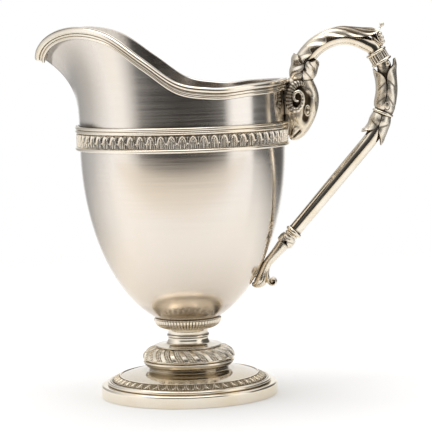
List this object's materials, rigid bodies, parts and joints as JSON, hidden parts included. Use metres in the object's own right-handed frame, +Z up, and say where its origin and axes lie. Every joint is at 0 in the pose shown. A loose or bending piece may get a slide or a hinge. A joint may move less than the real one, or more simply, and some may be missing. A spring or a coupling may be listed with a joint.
{
  "type": "cream jug",
  "caption": "Footed silver cream jug with an egg-shaped bowl, a pulled spout, a reeded lip, a leaf-tip frieze, a turned stem and a leafy handle that springs from a ram's head.",
  "frame": {"origin": "centre of the jug's box, on the surface that the jug stands on", "axes": "+Z up along the bowl's axis, +X from the bowl towards the handle, so that the spout points to -X; the jug is mirror-symmetric about the XZ plane"},
  "size_m": [0.1448, 0.086, 0.1492],
  "materials": {
    "satin_silver": "warm silver sheet, satin, with fine level brushing",
    "bright_silver": "bright silver trim, worn smooth, dark in its recesses",
    "cast_silver": "cast and chased silver with a golden tarnish, dark in its recesses"
  },
  "bodies": {
    "root": {"bowl": "satin_silver", "neck_spout": "satin_silver", "rim_moulding": "bright_silver", "frieze_lower_wire": "bright_silver", "frieze_strip": "bright_silver", "frieze_upper_wire": "bright_silver", "gadroon_collar": "bright_silver", "stem_spool": "cast_silver", "knop_cap": "bright_silver", "knop": "bright_silver", "knop_wire": "bright_silver", "foot_dome": "bright_silver", "foot_frieze": "bright_silver", "foot_bead": "bright_silver", "foot_plinth": "bright_silver", "ram_head": "cast_silver", "ram_horn_left": "cast_silver", "ram_horn_right": "cast_silver", "calyx_leaf_jug": "cast_silver", "calyx_leaf_grip": "cast_silver", "arch_tube": "cast_silver", "thumb_leaf": "cast_silver", "thumb_bud": "cast_silver", "collar_bead_upper": "cast_silver", "handle_collar": "cast_silver", "collar_bead_lower": "cast_silver", "sheath_core": "cast_silver", "sheath_leaf_outer": "cast_silver", "sheath_leaf_inner": "cast_silver", "sheath_ring": "cast_silver", "husk_leaf_outer": "cast_silver", "husk_leaf_inner": "cast_silver", "handle_rod": "cast_silver", "rod_ring_large": "cast_silver", "rod_ring_small": "cast_silver", "scroll_cup": "cast_silver", "scroll_foot": "cast_silver"}
  },
  "joints": []
}
